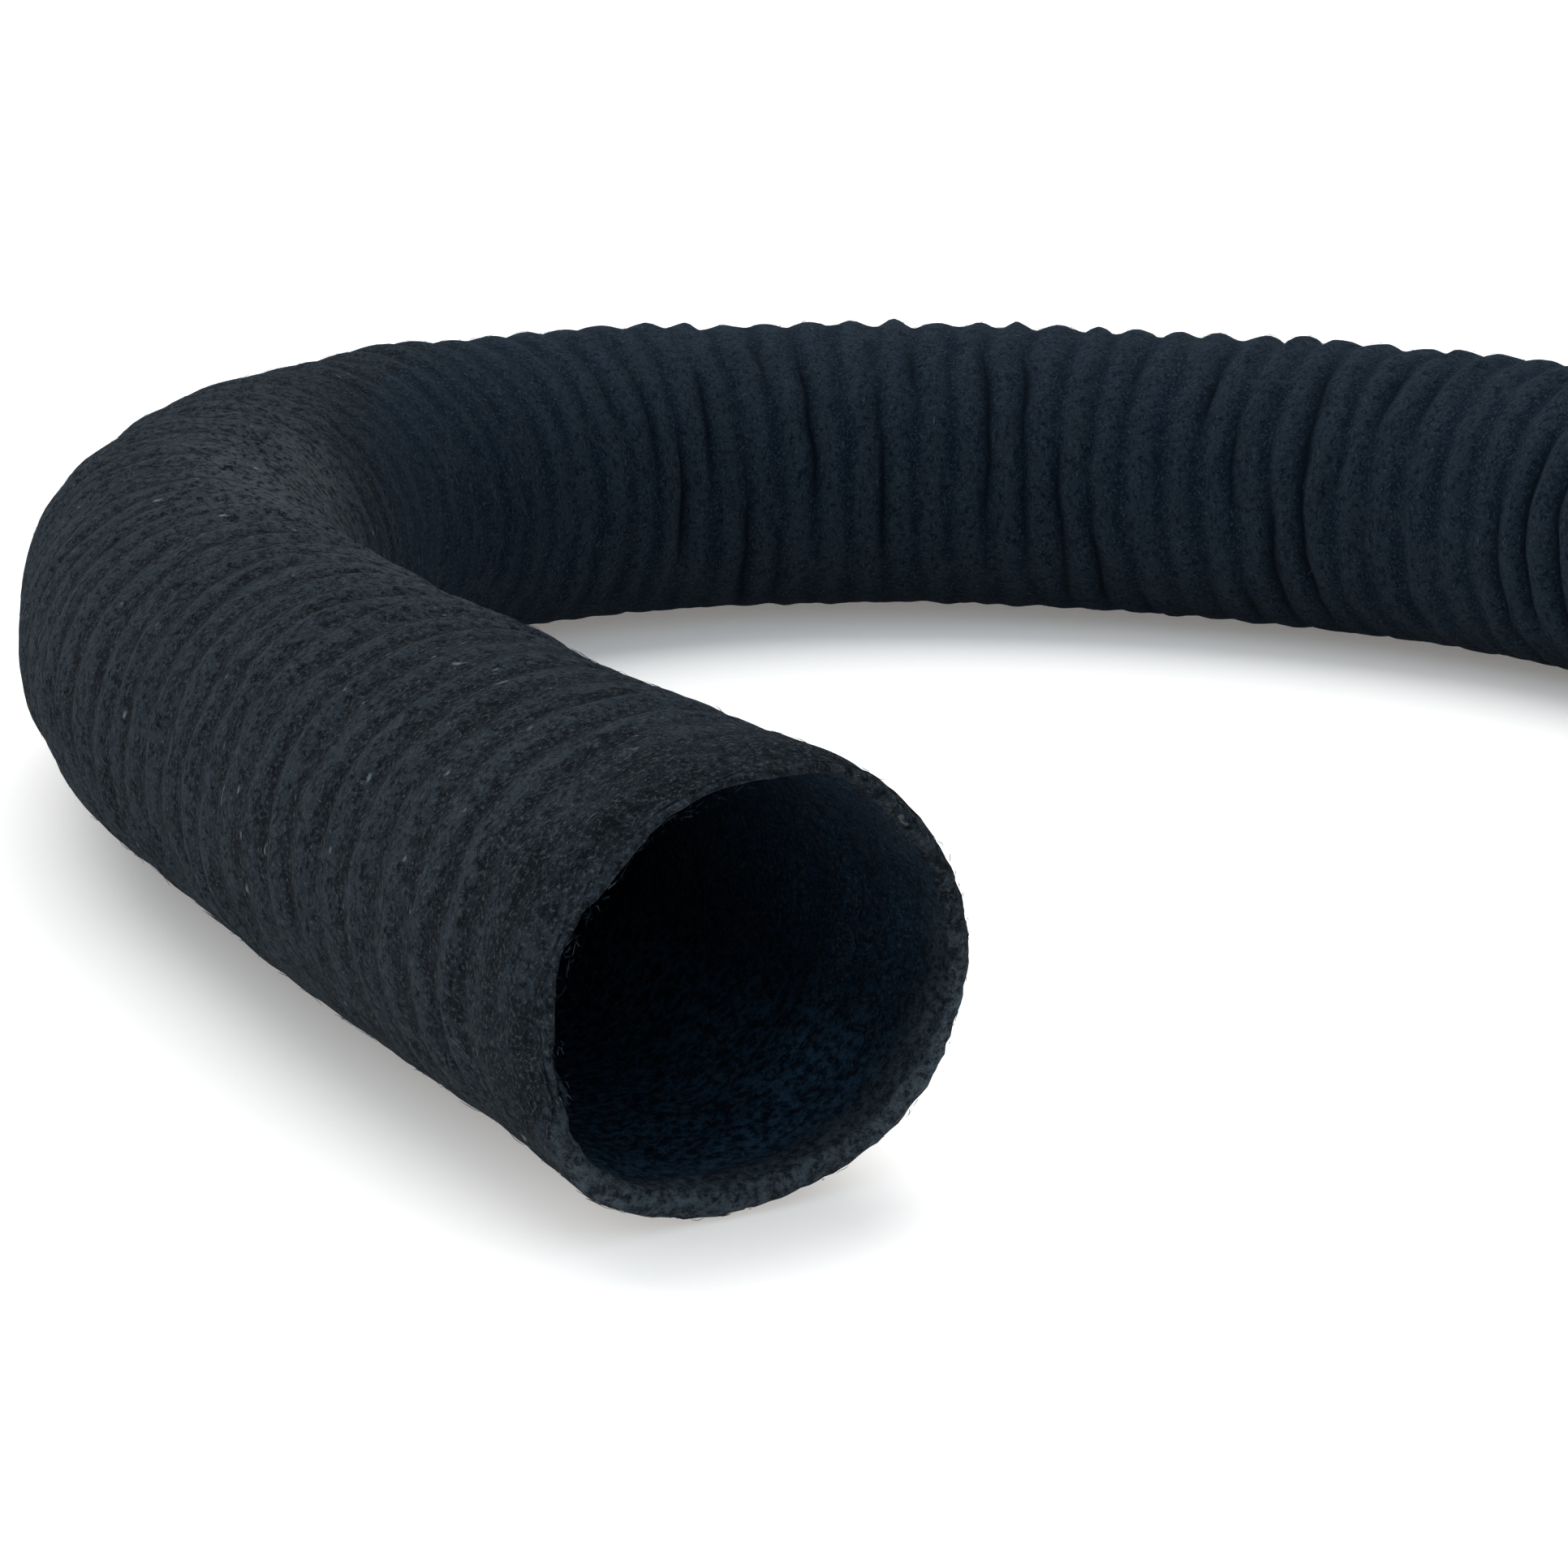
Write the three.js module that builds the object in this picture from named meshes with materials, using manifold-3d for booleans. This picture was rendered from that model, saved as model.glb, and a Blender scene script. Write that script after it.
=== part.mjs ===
// A flexible heater duct hose: one tube of stiffened cloth with a soft helical rib, one metre
// long, lying on the ground in a loose hook. Millimetres, +Z up, the ground at z = 0.
import * as THREE from 'three';
import { mergeVertices } from 'three/addons/utils/BufferGeometryUtils.js';
import Module from 'manifold-3d';

// Driving dimensions.
const BORE_RADIUS = 25; // the clear way through the hose
const WALL = 1.4; // cloth between the bore and the bottom of a groove
const RIB_HEIGHT = 1.2; // from the bottom of a groove to the crest of the rib
const RIB_PITCH = 8.1; // along the hose, from one turn of the rib to the next

// The centreline seen from above, from the open mouth at the front to the far end.
const ROUTE = [
  [-58, -121], [-79.5, -85.5], [-100, -49.5], [-118.5, -12], [-136.5, 25.5],
  [-148, 65.5], [-152.5, 107], [-146, 147.5], [-125.5, 183.5], [-92.5, 208.5],
  [-52.5, 219.5], [-11, 218], [29, 205.5], [65, 185], [95.5, 156.5],
  [119, 122], [135, 84], [145, 43.5], [150.5, 2], [152.5, -39.5],
  [153, -81], [153, -123], [153, -164.5], [153, -206], [153, -248],
];

// How finely the surfaces are divided: sides round the hose, rows to a turn of the rib,
// and steps along the smooth bore.
const SIDES = 16;
const ROWS_PER_TURN = 2;
const BORE_STEPS = 60;

const UP = new THREE.Vector3(0, 0, 1);
const grooveRadius = BORE_RADIUS + WALL;
const crestRadius = grooveRadius + RIB_HEIGHT;

// The crests rest on the ground, so the centreline runs one crest radius above it.
const centreline = new THREE.CatmullRomCurve3(
  ROUTE.map(([x, y]) => new THREE.Vector3(x, y, crestRadius)), false, 'catmullrom', 0.5,
);
centreline.arcLengthDivisions = 2000;
const length = centreline.getLength();

// The outside and the bore are made this much too long at each end, then cut square.
const spare = 2 * RIB_PITCH;

// The centre, the direction and the sideways direction at a distance along the hose.
// Past its ends the line runs on straight.
function section(distance) {
  const along = THREE.MathUtils.clamp(distance, 0, length);
  const forward = centreline.getTangentAt(along / length);
  const centre = centreline.getPointAt(along / length).addScaledVector(forward, distance - along);
  const side = new THREE.Vector3().crossVectors(forward, UP);
  return { centre, forward, side };
}

// The point of one side of the section, counted from sideways up over the top.
function pointOn(distance, sideNumber, radius) {
  const { centre, side } = section(distance);
  const angle = (2 * Math.PI * sideNumber) / SIDES;
  return centre
    .addScaledVector(side, radius * Math.cos(angle))
    .addScaledVector(UP, radius * Math.sin(angle));
}

// A closed solid from rows of points round the line, with a fan of triangles on each end.
// Once round, a row meets the row that is `slip` rows before it: 0 makes rings, and the rows
// of one turn make a helix.
function closedTube(rows, slip, pointAt) {
  const points = [];
  for (let row = 0; row <= rows; row += 1) {
    for (let side = 0; side < SIDES; side += 1) points.push(pointAt(row, side));
  }
  const at = (row, side) => (side < SIDES ? row * SIDES + side : (row - slip) * SIDES);
  const triangles = [];
  for (let side = 0; side < SIDES; side += 1) {
    for (let row = side < SIDES - 1 ? 0 : slip; row < rows; row += 1) {
      triangles.push(at(row, side), at(row + 1, side), at(row + 1, side + 1));
      triangles.push(at(row, side), at(row + 1, side + 1), at(row, side + 1));
    }
  }
  const firstLoop = [];
  const lastLoop = [];
  for (let side = 0; side < SIDES; side += 1) {
    firstLoop.push(at(0, side));
    lastLoop.push(at(rows, side));
  }
  for (let row = 0; row < slip; row += 1) {
    firstLoop.push(at(row + 1, SIDES - 1));
    lastLoop.push(at(rows - slip + row, 0));
  }
  for (const loop of [firstLoop, lastLoop.reverse()]) {
    const middle = points.length;
    const sum = new THREE.Vector3();
    loop.forEach((corner) => sum.add(points[corner]));
    points.push(sum.divideScalar(loop.length));
    loop.forEach((corner, i) => triangles.push(corner, loop[(i + 1) % loop.length], middle));
  }
  const geometry = new THREE.BufferGeometry().setFromPoints(points);
  geometry.setIndex(triangles);
  return geometry;
}

// The ribbed outside, as a solid rod: rows of crests and grooves by turns, wound as a helix.
function ribbedRod() {
  const turns = Math.ceil((length + spare) / RIB_PITCH) + 2;
  return closedTube(turns * ROWS_PER_TURN, ROWS_PER_TURN, (row, side) => {
    const distance = (row / ROWS_PER_TURN - side / SIDES) * RIB_PITCH - spare;
    const onCrest = (1 + Math.cos((2 * Math.PI * row) / ROWS_PER_TURN)) / 2;
    return pointOn(distance, side, grooveRadius + RIB_HEIGHT * onCrest);
  });
}

// The bore, as a smooth rod.
function boreRod() {
  const step = (length + 2 * spare) / BORE_STEPS;
  return closedTube(BORE_STEPS, 0, (row, side) => pointOn(row * step - spare, side, BORE_RADIUS));
}

// A block that takes off all that runs past one end, up to the square cut there.
function endBlock(distance, outward) {
  const { centre, forward, side } = section(distance);
  const depth = 3 * spare;
  const away = forward.clone().multiplyScalar(outward);
  const across = side.clone().multiplyScalar(-outward);
  const block = new THREE.BoxGeometry(3 * crestRadius, 3 * crestRadius, depth);
  const place = new THREE.Matrix4().makeBasis(across, UP, away);
  place.setPosition(centre.addScaledVector(away, depth / 2));
  return block.applyMatrix4(place);
}

const wasm = await Module();
wasm.setup();

function solidOf(geometry) {
  const bare = geometry.clone();
  bare.deleteAttribute('normal');
  bare.deleteAttribute('uv');
  const merged = mergeVertices(bare, 1e-4);
  return new wasm.Manifold(new wasm.Mesh({
    numProp: 3,
    vertProperties: new Float32Array(merged.attributes.position.array),
    triVerts: new Uint32Array(merged.index.array),
  }));
}

function geometryOf(solid) {
  const mesh = solid.getMesh();
  const geometry = new THREE.BufferGeometry();
  geometry.setAttribute('position', new THREE.BufferAttribute(mesh.vertProperties, 3));
  geometry.setIndex(new THREE.BufferAttribute(mesh.triVerts, 1));
  geometry.computeVertexNormals();
  return geometry;
}

const cloth = new THREE.MeshStandardMaterial({ color: '#23282c', roughness: 0.95, metalness: 0 });
const hose = solidOf(ribbedRod())
  .subtract(solidOf(boreRod()))
  .subtract(solidOf(endBlock(0, -1)))
  .subtract(solidOf(endBlock(length, 1)));
const ductHose = new THREE.Mesh(geometryOf(hose), cloth);
ductHose.name = 'duct_hose';

const part = new THREE.Group();
part.name = 'heater_duct_hose';
part.add(ductHose);
export default part;
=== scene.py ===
import bisect
import math
import random

import bmesh
import bpy
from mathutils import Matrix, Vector, noise
from mathutils.geometry import interpolate_bezier


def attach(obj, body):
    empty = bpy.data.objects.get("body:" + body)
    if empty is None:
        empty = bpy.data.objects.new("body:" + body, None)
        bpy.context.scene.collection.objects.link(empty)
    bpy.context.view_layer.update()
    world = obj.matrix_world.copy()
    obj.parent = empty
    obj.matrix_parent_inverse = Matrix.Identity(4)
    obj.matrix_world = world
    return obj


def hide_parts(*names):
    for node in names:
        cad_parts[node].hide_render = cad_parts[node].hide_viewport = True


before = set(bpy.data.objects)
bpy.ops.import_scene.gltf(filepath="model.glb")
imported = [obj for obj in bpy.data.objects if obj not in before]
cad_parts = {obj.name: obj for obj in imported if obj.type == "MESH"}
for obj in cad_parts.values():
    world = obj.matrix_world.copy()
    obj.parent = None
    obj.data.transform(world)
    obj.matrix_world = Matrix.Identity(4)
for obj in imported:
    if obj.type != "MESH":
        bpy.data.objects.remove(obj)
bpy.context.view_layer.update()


# The camera
# A long lens close to the ground and a little above the hose, looking down its front leg. The
# picture is square, and the focal length is given in its pixels.
MM = 0.001
PICTURE_SIDE = 1932
FOCAL_PIXELS = 4602
SENSOR_MM = 36
LOOKS_DOWN = 14.63
ROLL = 0.1

camera_data = bpy.data.cameras.new("camera")
camera_data.sensor_width = SENSOR_MM
camera_data.lens = FOCAL_PIXELS / PICTURE_SIDE * SENSOR_MM
camera = bpy.data.objects.new("camera", camera_data)
camera.location = (-54.2 * MM, -515.8 * MM, 154.3 * MM)
camera.rotation_euler = (math.radians(90 - LOOKS_DOWN), math.radians(ROLL), 0)
bpy.context.scene.collection.objects.link(camera)
bpy.context.scene.camera = camera


# The lie of the hose
# A metre of stock hose on the ground: a straight front leg, a bend at the left, and a back leg
# that curves round towards the viewer. It keeps the set of the coil it was stored in.
ROUTE = [
    (-0.0580, -0.1210), (-0.0795, -0.0855), (-0.1000, -0.0495), (-0.1185, -0.0120),
    (-0.1365, 0.0255), (-0.1480, 0.0655), (-0.1525, 0.1070), (-0.1460, 0.1475),
    (-0.1255, 0.1835), (-0.0925, 0.2085), (-0.0525, 0.2195), (-0.0110, 0.2180),
    (0.0290, 0.2055), (0.0650, 0.1850), (0.0955, 0.1565), (0.1190, 0.1220),
    (0.1350, 0.0840), (0.1450, 0.0435), (0.1505, 0.0020), (0.1525, -0.0395),
    (0.1530, -0.0810), (0.1530, -0.1230), (0.1530, -0.1645), (0.1530, -0.2060),
    (0.1530, -0.2480),
]
BORE_RADIUS = 25 * MM
WALL = 1.4 * MM
RIB_HEIGHT = 1.2 * MM
RIB_PITCH = 8.1 * MM
PIECES_PER_KNOT = 40  # short straight pieces of the line between two points of the route
BEND_REACH = 11  # pieces to each side of a place that its bend is measured over

groove_radius = BORE_RADIUS + WALL
crest_radius = groove_radius + RIB_HEIGHT


def smooth_line(route, pieces):
    """The smooth curve through the route's points, as a fine line of points."""
    knots = [Vector((x, y, crest_radius)) for x, y in route]
    knots = [2 * knots[0] - knots[1], *knots, 2 * knots[-1] - knots[-2]]
    line = []
    for before, start, end, after in zip(knots, knots[1:], knots[2:], knots[3:]):
        # a sixth of the way from one neighbour to the other is a Catmull-Rom curve's handle
        leaving = start + (end - before) / 6
        arriving = end - (after - start) / 6
        line += interpolate_bezier(start, leaving, arriving, end, pieces + 1)[:-1]
    return [*line, knots[-2]]


centreline = smooth_line(ROUTE, PIECES_PER_KNOT)
distances = [0.0]
for start, end in zip(centreline, centreline[1:]):
    distances.append(distances[-1] + (end - start).length)
hose_length = distances[-1]


def line_at(distance):
    """The centre, the direction and the bend, in 1/m, at a distance along the hose."""
    inside = min(max(distance, 0), hose_length)
    i = bisect.bisect_right(distances, inside)
    i = min(max(i, BEND_REACH + 1), len(distances) - BEND_REACH - 2)
    share = (inside - distances[i - 1]) / (distances[i] - distances[i - 1])
    before = centreline[i - 1] - centreline[i - 2]
    after = centreline[i + 1] - centreline[i]
    forward = before.normalized().lerp(after.normalized(), (1 + share) / 3).normalized()
    wide_before = centreline[i - 1] - centreline[i - 1 - BEND_REACH]
    wide_after = centreline[i + BEND_REACH] - centreline[i]
    bend = wide_before.angle(wide_after) / (wide_before.length + wide_after.length) * 2
    centre = centreline[i - 1].lerp(centreline[i], share)
    return centre, forward, bend


# The cloth of the hose
# One tube of stiffened, needled black cloth over a helical rib, which stands out as soft uneven
# crests. It puckers on the inside of a bend, and its ends are cut by hand with a little tilt.
TURN = 2 * math.pi
UP = Vector((0, 0, 1))
SIDES = 84
ROWS_PER_TURN = 8
INSIDE_STEP = 20 * MM
MOUTH_STEP = 1.6 * MM
MOUTH_ROWS = 18
SKIN_RADIUS = 27.0 * MM  # the cloth's mean, a little nearer to the grooves than to the crests
CUT_WALL = 2.1 * MM
WORN_RIB = 0.52  # how much of the rib's height shows on the front leg
CUT_PHASE = 0.4  # where in the rib's turn the cloth is cut
FRAYED = 6 * MM
# The colour's marks: the crest, drawn paler partly as painted highlight; the fold, painted shade; the
# cut, partly painted light; the lining; and the lint, where none leaves a bluer navy as painted shade.
MARKS = ("crest", "painted_fold_shade", "cut_edge_and_light", "lining", "lint_and_shade_tint")

# The rounding of the cut edge: each row's share of the way across the wall, and its dip.
LIP = [(0.04, 0.55), (0.2, 0.2), (0.45, 0.0), (0.72, 0.1), (0.95, 0.45)]
LIP_ROUNDING = 2.0 * MM
LIP_MIDDLE = 0.55

# Stretches of the hose, in mm from the mouth: where each starts, is full, fades and has ended.
STRETCHES = {
    "leg top": (60, 90, 150, 200),
    "saddle": (60, 150, 230, 320),
    "bent": (90, 150, 250, 310),
    "rubbed": (240, 275, 335, 365),
    "back leg": (330, 420, 1100, 1200),
    "puckered": (340, 380, 640, 720),
}

# Unevenness of the cloth: its size along the hose and round it, in mm, and its seed.
UNEVEN = {
    "skew of the rib": (9, 20, 1),
    "swell of the rib": (9, 18, 2),
    "puckers": (4.6, 40, 3),
    "ripples": (3.2, 11, 4),
    "sags": (40, 26, 5),
    "lining": (6, 7, 6),
    "slow drift": (20, 24, 7),
    "long cuts": (7, 7, 8),
    "short cuts": (7, 1.9, 9),
    "lumps of the rib": (6, 7, 10),
    "quick drift": (11, 8, 11),
    "lint_and_shade_tint": (30, 16, 12),
    "creases": (5, 20, 13),
}
SEED_STEP = 17.3

# How far the cloth of the mouth stands out, in mm, about an angle and over a width in radians.
# Angles start at the hose's right-hand side, looking in at the mouth, and go up over the top.
MOUTH_BULGES = [
    (1.6, -0.65, 0.45), (1.6, -2.3, 0.4), (0.8, 1.25, 0.3), (-0.8, 0.65, 0.35), (0.7, -0.02, 0.2),
]
MOUTH_REACH = 26 * MM
EDGE_REACH = 6 * MM
CURL_ANGLE = 2.4
CURL_IN = 1.3 * MM
TEAR_BELOW = -2.66
TEAR_ABOVE = -2.72
TEAR_OUT = 0.8 * MM
TEAR_BACK = 1.1 * MM

# How the section widens and rises, as shares of its size: at the open mouth, and where a tight
# bend settles. The cut of the mouth leans back by so much across it and up it.
OPENED_WIDE, OPENED_HIGH = 0.026, 0.005
OPENED_REACH = 45 * MM
SETTLED_WIDE, SETTLED_HIGH = 0.095, 0.036
TIGHT_BEND = 0.3
MOST_SETTLED = 4
LEAN_ACROSS, LEAN_UP = -0.019, -0.111
LEAN_REACH = 60 * MM


def ease(low, high, value):
    """0 below low, 1 above high, and smooth between. It falls where low is the larger."""
    share = min(max((value - low) / (high - low), 0), 1)
    return share * share * (3 - 2 * share)


def bell(value, middle, width):
    """1 in the middle, and falling off to each side over the width."""
    return math.exp(-(((value - middle) / width) ** 2))


def on_stretch(name, distance):
    """1 on a stretch of the hose, and falling off smoothly at its ends."""
    start, full, fades, ended = STRETCHES[name]
    return ease(start * MM, full * MM, distance) * ease(ended * MM, fades * MM, distance)


def uneven(name, distance, angle):
    """Smooth noise on the cloth, about -0.6 to 0.6."""
    along, around, seed = UNEVEN[name]
    ring = crest_radius / (around * MM)
    where = distance / (along * MM) + seed * SEED_STEP
    return noise.noise(Vector((where, ring * math.cos(angle), ring * math.sin(angle) + seed)))


def half_turned(angle):
    """The same angle, between minus and plus half a turn."""
    return (angle + 0.5 * TURN) % TURN - 0.5 * TURN


def rib_relief(distance, angle):
    """How high the rib stands, and how deep the cloth puckers between its turns."""
    inside_bend = ease(0.0, 0.75, math.cos(angle))
    underneath = ease(0.3, 0.95, -math.sin(angle))
    back_leg = on_stretch("back leg", distance)
    height = WORN_RIB + (1 - WORN_RIB) * back_leg
    height *= 1 + 0.8 * uneven("swell of the rib", distance, angle)
    height *= 1 + 0.7 * uneven("lumps of the rib", distance, angle)
    height *= 1 - 0.85 * underneath
    # the rib runs out before the two cuts
    height *= ease(0, 28 * MM, distance) * ease(hose_length, hose_length - 14 * MM, distance)
    # it is rubbed flat on the inside of the bend, and stands up most on top of the front leg
    height *= 1 - 0.8 * on_stretch("rubbed", distance) * inside_bend
    height *= 1 - 0.35 * back_leg * inside_bend
    height *= 1 + 0.9 * on_stretch("leg top", distance) * ease(0.1, 0.7, math.cos(angle - 0.6))
    pucker = 0.2 + 1.2 * ease(-0.1, 0.45, uneven("puckers", distance, angle))
    return height, on_stretch("puckered", distance) * inside_bend * pucker


def curl(angle):
    """1 where the cloth of the mouth curls in over the opening, up and to the left."""
    return ease(-0.2, 0.7, math.cos(angle - CURL_ANGLE))


def tear(angle):
    """A short tear low on the left of the mouth: the cloth is out below it, and in above it."""
    turned = half_turned(angle)
    below = ease(TEAR_ABOVE, TEAR_BELOW, turned)
    return below * bell(turned, TEAR_BELOW, 0.4) - (1 - below) * bell(turned, TEAR_ABOVE, 0.25)


def outer_radius(distance, angle, phase):
    """Phase is 0 on the crest of the rib, and half in the middle of the groove."""
    height, pucker = rib_relief(distance, angle)
    skew = 0.7 * uneven("skew of the rib", distance, angle)
    crest = (0.5 + 0.5 * math.cos(TURN * phase + skew * math.sin(TURN * phase))) ** 1.2
    radius = SKIN_RADIUS + RIB_HEIGHT * height * (crest - 0.45)
    radius -= 0.8 * MM * pucker * bell(phase, 0.5, 0.15)
    radius += 0.4 * MM * uneven("ripples", distance, angle)
    radius += 0.45 * MM * uneven("sags", distance, angle)
    mouth = ease(MOUTH_REACH, 0, distance)
    turned = half_turned(angle)
    for out, middle, width in MOUTH_BULGES:
        radius += out * MM * mouth * bell(turned, middle, width)
    edge = ease(EDGE_REACH, 0, distance)
    return radius - CURL_IN * edge * curl(angle) + TEAR_OUT * edge * tear(angle)


def inner_radius(distance, angle):
    """The inside of the cloth, which is smooth, and thicker at the cut low down than high up."""
    mouth = ease(14 * MM, 0, distance)
    low = ease(0.2, 0.9, -math.sin(angle))
    wall = CUT_WALL + mouth * (0.5 + 0.8 * low - 1.3 * curl(angle)) * MM
    return outer_radius(distance, angle, CUT_PHASE) - wall + 0.7 * MM * uneven("lining", distance, angle)


def place_on_hose(distance, angle, radius, depth=0.0):
    """A place on the hose, on a section that settles a little wide in a bend."""
    centre, forward, bend = line_at(distance)
    side = forward.cross(UP)
    settle = min((bend * SKIN_RADIUS / TIGHT_BEND) ** 2, MOST_SETTLED)
    opened = math.exp(-distance / OPENED_REACH)
    wide = 1 + OPENED_WIDE * opened + SETTLED_WIDE * settle
    high = 1 + OPENED_HIGH * opened + SETTLED_HIGH * settle
    across = radius * wide * math.cos(angle)
    upward = radius * high * math.sin(angle)
    tilt = ease(LEAN_REACH, 0, distance) * (LEAN_ACROSS * across + LEAN_UP * upward)
    place = centre + side * across + UP * (upward + (high - 1) * crest_radius)
    place += forward * (tilt + depth)
    place.z = max(place.z, 0.0)
    return place


def rib_drift(distance, angle):
    """How far the rib strays along the hose from an even helix."""
    free = ease(0, 30 * MM, distance) * ease(hose_length, hose_length - 30 * MM, distance)
    stray = 1.5 * uneven("slow drift", distance, angle)
    stray += 0.9 * uneven("quick drift", distance, angle)
    return stray * MM * free


def lint_and_shade_tint_on(distance, angle):
    """How grey the cloth is with lint: most on the saddle of the bend, least on the back leg, which is
    left a bluer navy as painted shade.
    """
    inside_bend = ease(0.1, 0.8, math.cos(angle))
    clean_from = (370 - 75 * inside_bend) * MM
    grey_to = (300 - 60 * inside_bend) * MM
    # Painted shade: the back leg is left without this grey and so drawn bluer; the grey on the front leg
    # and the bend is partly lint.
    grey = 0.5 * ease(clean_from, grey_to, distance)
    patchy = 0.8 + 0.6 * uneven("lint_and_shade_tint", distance, angle)
    return grey + 0.5 * on_stretch("saddle", distance) * bell(half_turned(angle), 1.0, 0.65) * patchy


def cloth_rows():
    """Each row of the cloth as its kind and two numbers: its distance at angle 0 and its phase
    in the rib's turn, or on a lip its share of the way across and its dip."""
    turns = math.ceil(hose_length / RIB_PITCH) + 1
    rows = []
    for i in range(turns * ROWS_PER_TURN + 1):
        rows.append(("outside", i * RIB_PITCH / ROWS_PER_TURN, i % ROWS_PER_TURN / ROWS_PER_TURN))
    rows += [("far lip", across, dip) for across, dip in LIP]
    mouth = [i * MOUTH_STEP for i in range(MOUTH_ROWS)]
    middle = hose_length - 2 * MOUTH_ROWS * MOUTH_STEP
    steps = round(middle / INSIDE_STEP)
    inside = mouth + [MOUTH_ROWS * MOUTH_STEP + middle * i / steps for i in range(steps + 1)]
    inside += [hose_length - distance for distance in reversed(mouth)]
    rows += [("inside", distance, 0) for distance in reversed(inside)]
    rows += [("near lip", across, dip) for across, dip in reversed(LIP)]
    rows.append(rows[0])
    return rows


def cloth_point(kind, first, second, column):
    """Where one point of a row is, and how much it is a crest, a fold, a cut edge, the lining
    and grey with lint. Crests are drawn paler and folds darker as painted highlight and shade,
    the cut edge partly as painted light, and no lint leaves a bluer navy as painted shade. On
    the lining, crest is how far down it is, where the lining is painted lighter as painted light."""
    angle = TURN * (column % SIDES) / SIDES
    # The cut is drawn paler, as cut felt fibres are, and paler still low down and less under the curl,
    # as painted light on the lower rim and just inside the mouth.
    cut_paleness_and_light = (0.2 + 0.8 * ease(0.6, -0.5, math.sin(angle))) * (1 - 0.6 * curl(angle))
    if kind == "outside":
        distance = min(max(first - RIB_PITCH * column / SIDES, 0), hose_length)
        radius = outer_radius(distance, angle, second)
        height, pucker = rib_relief(distance, angle)
        bent = on_stretch("bent", distance)
        # The crests are drawn paler and the grooves darker, partly for wear and partly as painted
        # highlight and painted shade; in the bend this painted rib shading shows even where the rib is
        # rubbed flat.
        shown = height + (0.32 + 0.25 * bent) * ease(0, 25 * MM, distance)
        crest = (0.5 + 0.5 * math.cos(TURN * second)) * shown
        # Painted shade: the middle of the groove is drawn near-black where the cloth puckers or creases.
        crease = 0.7 * bent * ease(-0.3, 0.4, uneven("creases", distance, angle))
        painted_fold_shade = max(0.8 * pucker, crease) * bell(second, 0.5, 0.12)
        cut_edge_and_light = 0.5 * cut_paleness_and_light * ease(2.5 * MM, 0, min(distance, hose_length - distance))
        marks = (crest, painted_fold_shade, cut_edge_and_light, 0, lint_and_shade_tint_on(distance, angle))
        return distance + rib_drift(distance, angle), angle, radius, 0, marks
    if kind == "inside":
        deep = ease(0, 10 * MM, min(first, hose_length - first))
        # Low in the lining, crest carries the painted light that makes the lower inside paler.
        low = ease(0.2, 0.9, -math.sin(angle))
        # Just inside the mouth the lining takes the pale cut colour, as painted light.
        marks = (0.2 + 0.8 * low * deep, 0, cut_paleness_and_light * (1 - deep), deep, 0)
        return first, angle, inner_radius(first, angle), 0, marks
    distance = 0 if kind == "near lip" else hose_length
    outside = outer_radius(distance, angle, CUT_PHASE)
    inside = inner_radius(distance, angle)
    ragged = uneven("long cuts", 0, angle) + 0.9 * uneven("short cuts", 0, angle)
    push = LIP_ROUNDING * (second - LIP_MIDDLE) + (0.2 + first) * MM * ragged
    push -= TEAR_BACK * tear(angle)
    if kind == "far lip":
        push = -push
    radius = outside + (inside - outside) * first
    return distance, angle, radius, push, (0.3, 0, cut_paleness_and_light, 0, 0.5)


def fray_mouth(cloth, straight):
    """Divide the cloth of the mouth once more, and rough it up."""
    edges = [e for e in cloth.edges if all(v[straight].x < FRAYED for v in e.verts)]
    bmesh.ops.subdivide_edges(cloth, edges=edges, cuts=1, use_grid_fill=True)
    cloth.normal_update()
    forward = line_at(0)[1]
    moves = []
    for vert in cloth.verts:
        place = vert[straight]
        if place.x < FRAYED:
            rough = ease(FRAYED, 0.2 * FRAYED, place.x)
            out = noise.noise(place / (1.5 * MM)) * 0.2 * MM
            back = noise.noise(place / (1.9 * MM) + UP) * 0.5 * MM * ease(0.3 * FRAYED, 0, place.x)
            moves.append((vert, vert.normal * out * rough + forward * back))
    for vert, move in moves:
        vert.co += move
        vert.co.z = max(vert.co.z, 0.0)


def make_cloth():
    """A grid, rolled up into the tube: its columns go round, and its rows run out along the
    outside, over the far lip, back along the inside and over the near lip to the start."""
    rows = cloth_rows()
    cloth = bmesh.new()
    straight = cloth.verts.layers.float_vector.new("straight")
    layers = [cloth.verts.layers.float.new(name) for name in MARKS]
    bmesh.ops.create_grid(cloth, x_segments=SIDES, y_segments=len(rows) - 1, size=0.5)
    for vert in cloth.verts:
        column = round((vert.co.x + 0.5) * SIDES)
        kind, first, second = rows[round((vert.co.y + 0.5) * (len(rows) - 1))]
        distance, angle, radius, push, marks = cloth_point(kind, first, second, column)
        vert.co = place_on_hose(distance, angle, radius, push)
        vert[straight] = (distance + push, radius * math.cos(angle), radius * math.sin(angle))
        for layer, mark in zip(layers, marks):
            vert[layer] = mark
    bmesh.ops.remove_doubles(cloth, verts=cloth.verts, dist=1e-6)
    bmesh.ops.recalc_face_normals(cloth, faces=cloth.faces)
    fray_mouth(cloth, straight)
    for face in cloth.faces:
        face.smooth = True
    mesh = bpy.data.meshes.new("duct_hose_cloth")
    cloth.to_mesh(mesh)
    cloth.free()
    made = bpy.data.objects.new("duct_hose_cloth", mesh)
    bpy.context.scene.collection.objects.link(made)
    return made


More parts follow.
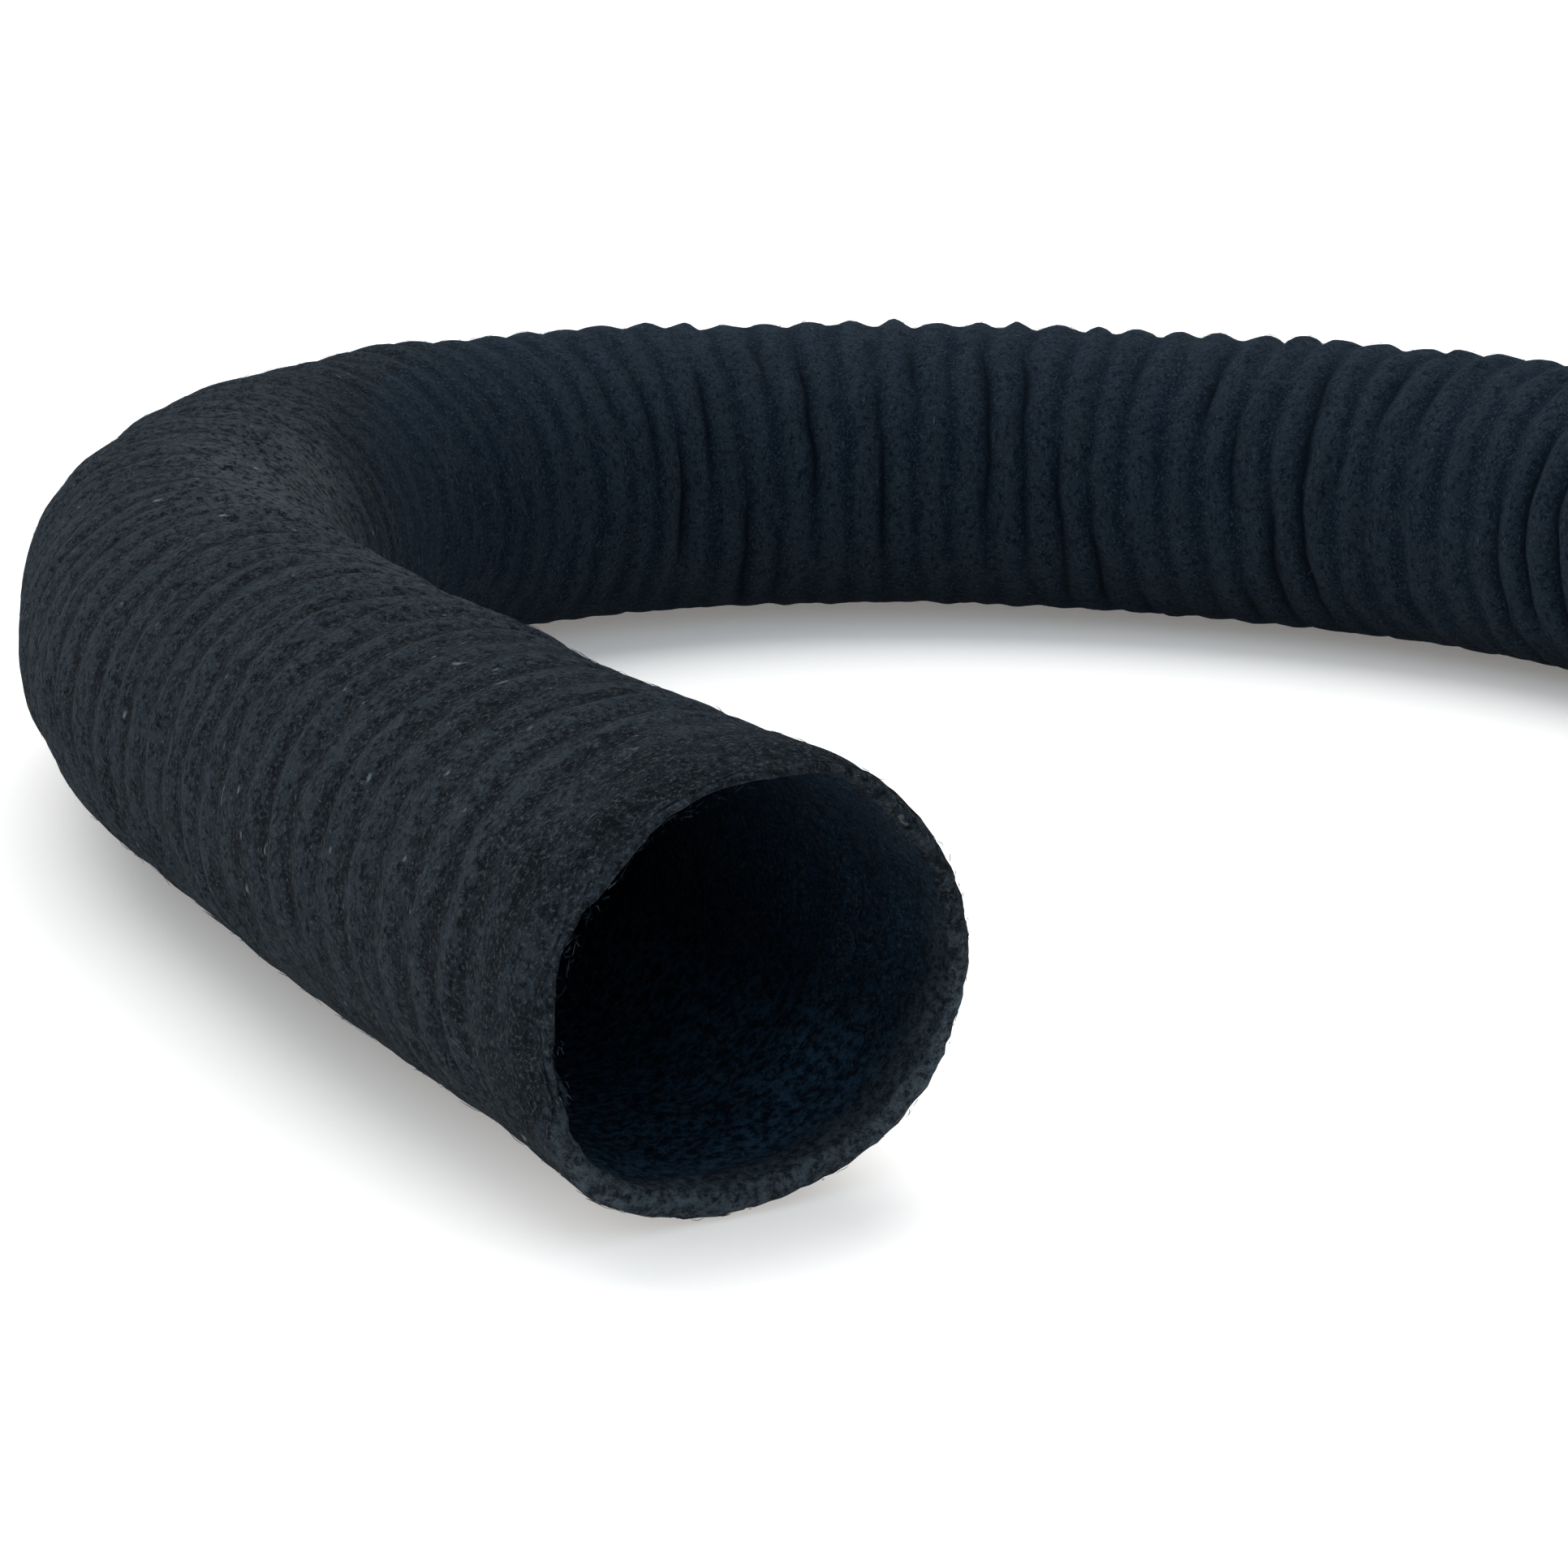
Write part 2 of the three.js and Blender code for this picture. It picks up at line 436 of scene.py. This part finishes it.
def linear(hex_colour):
    """A colour written as #rrggbb, as the linear red, green, blue and alpha of a shader."""
    parts = [int(hex_colour[i:i + 2], 16) / 255 for i in (1, 3, 5)]
    parts = [p / 12.92 if p <= 0.04045 else ((p + 0.055) / 1.055) ** 2.4 for p in parts]
    return (*parts, 1.0)


def add_node(tree, kind, inputs=None, **settings):
    """Add a shader node. An input is a plain value, or the output socket that feeds it."""
    node = tree.nodes.new(kind)
    for name, value in settings.items():
        setattr(node, name, value)
    for name, value in (inputs or {}).items():
        if isinstance(value, bpy.types.NodeSocket):
            tree.links.new(value, node.inputs[name])
        else:
            node.inputs[name].default_value = value
    return node


# Patterns of the felt: the size of a spot in mm, how far it is drawn out round the hose, its
# levels of detail and their roughness. Real fibres are about 0.02 mm thick and real tufts half a
# millimetre, which is too fine to show, so both are drawn as coarse as they need to be.
FELT_PATTERNS = {
    "patches": (6, 1.6, 4, 0.65),
    "creases": (1.6, 1.6, 3, 0.6),
    "tufts": (1.3, 1.0, 4, 0.75),
    "fibres": (0.5, 1.1, 3, 0.75),
    "specks": (2.2, 1.8, 2, 0.6),
}
# How far each pattern stands up, in mm.
FELT_HEIGHTS = {"creases": 0.8, "tufts": 0.9, "fibres": 0.3}
FLECKS_FROM, FLECKS_FULL = 0.7, 0.78

# Colours of the felt, laid one over the other: a layer's name, the value that it goes by, where
# that starts and where it is full, or none where the value is a share already, and what shows at
# the start and when full, a colour or an earlier layer.
FELT_LAYERS = [
    # Painted highlight: these two colours go paler on the crests and raised tufts, partly for wear.
    ("clean shade blue", "worn_and_highlit", (0.4, 1.35), "#051522", "#1e2933"),
    ("linted", "worn_and_highlit", (0.4, 1.35), "#060c12", "#232b31"),
    # Painted shade: where there is no lint, as on the back leg, the cloth is a bluer navy.
    ("cloth", "lint_and_shade_tint", (0.0, 0.5), "clean shade blue", "linted"),
    ("patched", "patches", (0.47, 0.7), "cloth", "#1e272f"),
    ("greyed", "saddle", (0.22, 0.62), "patched", "#42484b"),
    ("lining above", "tufts", (0.4, 0.62), "#051626", "#0e2537"),
    ("lining painted lighter below", "tufts", (0.4, 0.62), "#0a2136", "#35546c"),
    # Painted light: the lower inside of the bore is drawn paler and bluer than its top.
    ("whole lining", "crest", (0.2, 1.0), "lining above", "lining painted lighter below"),
    ("lined", "lining", None, "greyed", "whole lining"),
    # Painted shade: the felt is drawn near-black in the hollows between tufts and in its creases, bluer
    # where there is no lint.
    ("painted shade", "lint_and_shade_tint", (0.0, 0.5), "#04111e", "#03080c"),
    ("tufted", "tufts", (0.52, 0.36), "lined", "painted shade"),
    ("creased", "creases", (0.46, 0.28), "tufted", "painted shade"),
    # The cut edge's colour: pale cut fibres, laid on partly as painted light.
    ("cut wall", "tufts", (0.38, 0.62), "#161e24", "#47525a"),
    ("frayed", "cut_edge_and_light", (0.1, 1.3), "creased", "cut wall"),
    ("pale fibres", "lint_and_shade_tint", (0.0, 0.5), "#2f3b46", "#393f43"),
    ("napped", "fibres", (0.5, 0.7), "frayed", "pale fibres"),
    # Painted shade in the folds.
    ("shaded folds", "painted_fold_shade", (0.1, 1.2), "napped", "#020c17"),
    ("flecked", "flecks", None, "shaded folds", "#7d868b"),
]


def felt_material():
    """Needled felt, a mat of dyed wool and cotton fibres punched through with barbed needles. To
    the eye it is dull and dark with no gloss, mottled where tufts stand up or lie flat, paler on
    the worn crests and at the cut, and flecked with pale lint. Its colour also holds painted
    light: painted highlight on the crests and raised tufts, painted shade in the hollows between
    tufts, in creases and in folds, a bluer navy as painted shade where there is no lint, and
    painted light at the lower cut and low in the lining."""
    material = bpy.data.materials.new("charcoal_needled_felt")
    material.use_nodes = True
    tree = material.node_tree
    tree.nodes.clear()
    straight = add_node(tree, "ShaderNodeAttribute", attribute_name="straight").outputs["Vector"]
    values = {
        name: add_node(tree, "ShaderNodeAttribute", attribute_name=name).outputs["Fac"]
        for name in MARKS
    }
    for name, (size, stretch, detail, rough) in FELT_PATTERNS.items():
        drawn_out = add_node(
            tree, "ShaderNodeMapping", {"Vector": straight, "Scale": (1, 1 / stretch, 1 / stretch)},
        )
        spots = add_node(
            tree, "ShaderNodeTexNoise",
            {
                "Vector": drawn_out.outputs["Vector"], "Scale": 1 / (size * MM), "Detail": detail,
                "Roughness": rough,
            },
        )
        values[name] = spots.outputs["Fac"]
    speck = add_node(
        tree, "ShaderNodeMapRange",
        {"Value": values["specks"], "From Min": FLECKS_FROM, "From Max": FLECKS_FULL},
        interpolation_type="SMOOTHSTEP",
    ).outputs["Result"]
    for name, how, one, other in (
        # Crests and tufts together make the felt paler, as wear and as painted highlight.
        ("worn_and_highlit", "ADD", values["crest"], values["tufts"]),
        ("saddle", "MULTIPLY", values["lint_and_shade_tint"], values["tufts"]),
        ("flecks", "MULTIPLY", speck, values["lint_and_shade_tint"]),
    ):
        values[name] = add_node(
            tree, "ShaderNodeMath", {0: one, 1: other}, operation=how,
        ).outputs[0]

    colours = {}
    for name, goes_by, reach, under, over in FELT_LAYERS:
        share = values[goes_by]
        if reach:
            share = add_node(
                tree, "ShaderNodeMapRange",
                {"Value": share, "From Min": reach[0], "From Max": reach[1]},
                interpolation_type="SMOOTHSTEP",
            ).outputs["Result"]
        under, over = (linear(c) if c.startswith("#") else colours[c] for c in (under, over))
        colours[name] = add_node(
            tree, "ShaderNodeMix", {0: share, 6: under, 7: over}, data_type="RGBA",
        ).outputs[2]

    normal = None
    for name, height in FELT_HEIGHTS.items():
        inputs = {"Height": values[name], "Strength": 1.0, "Distance": height * MM}
        if normal:
            inputs["Normal"] = normal
        normal = add_node(tree, "ShaderNodeBump", inputs).outputs["Normal"]
    shader = add_node(
        tree, "ShaderNodeBsdfPrincipled",
        {
            "Base Color": colours["flecked"], "Roughness": 0.95, "Specular IOR Level": 0.05,
            "IOR": 1.5, "Metallic": 0.0, "Sheen Weight": 0.03, "Sheen Roughness": 0.6,
            "Sheen Tint": linear("#aab4bd"), "Normal": normal,
        },
    )
    add_node(tree, "ShaderNodeOutputMaterial", {"Surface": shader.outputs["BSDF"]})
    return material


hose = make_cloth()
hose.data.materials.append(felt_material())
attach(hose, "root")
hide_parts("duct_hose")


# The nap
# Loose wool and cotton fibres and lint on the felt. They are matted down mostly along the rib,
# with their ends a little raised, and stand off the cut edges where the shears went through.
LOOSE_FIBRES = 5200
EDGE_FIBRES = 600
FIBRE_RADIUS = 0.04 * MM  # about twice a real fibre's, which would be too fine to show
FIBRE_TAPER = (0.5, 1.0, 1.0, 0.4)
LIFT = 0.16 * MM
CHANCE_SEED = 7


def add_fibre(curve, points):
    """One fine fibre through the points, thinner at its ends."""
    spline = curve.splines.new("POLY")
    spline.points.add(len(points) - 1)
    for knot, place, thickness in zip(spline.points, points, FIBRE_TAPER):
        knot.co = (*place, 1)
        knot.radius = thickness


def lying_fibre(chance):
    """A fibre matted on the outside, anywhere but on the strip that the hose lies on."""
    distance = chance.uniform(0.5 * MM, hose_length - 0.5 * MM)
    angle = chance.uniform(-0.42 * TURN, 0.42 * TURN) + 0.25 * TURN
    length = chance.uniform(1.0 * MM, 4.5 * MM)
    heading = chance.gauss(0.25 * TURN, 0.5)
    points = []
    for i in range(len(FIBRE_TAPER)):
        phase = (distance / RIB_PITCH + angle / TURN) % 1
        lift = LIFT if i in (1, 2) else chance.uniform(0.0, 0.45) * MM
        radius = outer_radius(distance, angle, phase) + lift
        points.append(place_on_hose(distance + rib_drift(distance, angle), angle, radius))
        distance += length / 3 * math.cos(heading)
        angle += length / 3 * math.sin(heading) / crest_radius
        heading += chance.gauss(0, 0.45)
    return points


def edge_fibre(chance):
    """A fibre that stands off the cut edge of the mouth or of the far end."""
    near = chance.random() < 0.6
    angle = chance.uniform(0, TURN)
    start = 0.0 if near else hose_length
    outside = outer_radius(start, angle, CUT_PHASE)
    radius = outside - chance.uniform(0.1 * MM, 2.0 * MM)
    push = 0.7 * MM
    sway = chance.gauss(0, 0.35)
    points = []
    for _ in range(len(FIBRE_TAPER)):
        signed = -push if near else push
        points.append(place_on_hose(start, angle, radius, signed))
        push += chance.uniform(0.0, 0.2) * MM
        angle += (sway + chance.gauss(0, 0.3)) * MM / crest_radius
        radius += chance.gauss(-0.08, 0.12) * MM
    return points


def fibre_material():
    """Grey wool and cotton lint, spun loose and never dyed through. To the eye the fibres are
    matt, from nearly as dark as the felt to a few that are clearly paler."""
    material = bpy.data.materials.new("grey_lint")
    material.use_nodes = True
    tree = material.node_tree
    shader = tree.nodes["Principled BSDF"]
    place = add_node(tree, "ShaderNodeTexCoord").outputs["Object"]
    tint = add_node(tree, "ShaderNodeTexNoise", {"Vector": place, "Scale": 1 / (3 * MM)})
    share = add_node(
        tree, "ShaderNodeMapRange",
        {"Value": tint.outputs["Fac"], "From Min": 0.55, "From Max": 0.75},
        interpolation_type="SMOOTHSTEP",
    )
    colour = add_node(
        tree, "ShaderNodeMix",
        {0: share.outputs["Result"], 6: linear("#1d262d"), 7: linear("#5c666c")}, data_type="RGBA",
    )
    tree.links.new(colour.outputs[2], shader.inputs["Base Color"])
    shader.inputs["Roughness"].default_value = 0.9
    shader.inputs["Specular IOR Level"].default_value = 0.05
    return material


def make_nap():
    """All the fibres as one curve, each with a section of four sides."""
    chance = random.Random(CHANCE_SEED)
    curve = bpy.data.curves.new("duct_hose_nap", "CURVE")
    curve.dimensions = "3D"
    curve.bevel_depth = FIBRE_RADIUS
    curve.bevel_resolution = 0
    for _ in range(LOOSE_FIBRES):
        add_fibre(curve, lying_fibre(chance))
    for _ in range(EDGE_FIBRES):
        add_fibre(curve, edge_fibre(chance))
    made = bpy.data.objects.new("duct_hose_nap", curve)
    bpy.context.scene.collection.objects.link(made)
    return made


nap = make_nap()
nap.data.materials.append(fibre_material())
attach(nap, "root")


# The ground and the light
# A plain sheet of white paper, under soft lamps. The hose has lamps of its own, from overhead and
# from the left. The ground's come from behind and from the side, so that its shadows are soft,
# wide in front of the hose and narrow behind it.
def paper_material():
    """Uncoated white paper, pressed flat: matt, even and faintly warm, with no gloss at all."""
    material = bpy.data.materials.new("white_paper")
    material.use_nodes = True
    shader = material.node_tree.nodes["Principled BSDF"]
    shader.inputs["Base Color"].default_value = linear("#e8e7e6")
    shader.inputs["Roughness"].default_value = 0.9
    shader.inputs["Specular IOR Level"].default_value = 0.0
    return material


ground = bmesh.new()
bmesh.ops.create_grid(ground, x_segments=1, y_segments=1, size=20)
mesh = bpy.data.meshes.new("ground")
ground.to_mesh(mesh)
ground.free()
floor = bpy.data.objects.new("ground", mesh)
floor.data.materials.append(paper_material())
bpy.context.scene.collection.objects.link(floor)


WARM = (1.0, 0.97, 0.94)
COOL = (0.76, 0.89, 1.0, 1)


def add_light(name, kind, strength, lit, towards=(0, 0, -1), **settings):
    """A soft light on the objects of one collection. A sun shines in the direction towards."""
    data = bpy.data.lights.new(name, kind)
    data.energy = strength
    data.color = WARM
    for setting, value in settings.items():
        setattr(data, setting, value)
    made = bpy.data.objects.new(name, data)
    made.rotation_euler = Vector(towards).to_track_quat("-Z", "Y").to_euler()
    made.light_linking.receiver_collection = lit
    bpy.context.scene.collection.objects.link(made)
    return made


on_hose = bpy.data.collections.new("lit_hose")
on_hose.objects.link(hose)
on_hose.objects.link(nap)
on_floor = bpy.data.collections.new("lit_ground")
on_floor.objects.link(floor)

add_light("overhead", "SUN", 2.4, on_hose, (0.04, -0.25, -1.0), angle=math.radians(80))
add_light("left", "SUN", 0.95, on_hose, (1.0, 0.1, -0.8), angle=math.radians(70))
add_light("behind", "SUN", 3.1, on_floor, (0.15, -0.8, -1.0), angle=math.radians(66))
add_light("side", "SUN", 0.9, on_floor, (1.0, -0.3, -1.0), angle=math.radians(70))
add_light("fill", "SUN", 0.8, on_floor, use_shadow=False)
mouth_fill = add_light(
    "mouth_fill", "AREA", 0.12, on_floor, shape="DISK", size=0.08, use_shadow=False,
)
mouth_fill.location = (0.0, -0.2, 0.09)

world = bpy.data.worlds.new("studio")
world.use_nodes = True
background = world.node_tree.nodes["Background"]
background.inputs["Color"].default_value = COOL
background.inputs["Strength"].default_value = 0.6
bpy.context.scene.world = world
bpy.context.scene.view_settings.view_transform = "Standard"
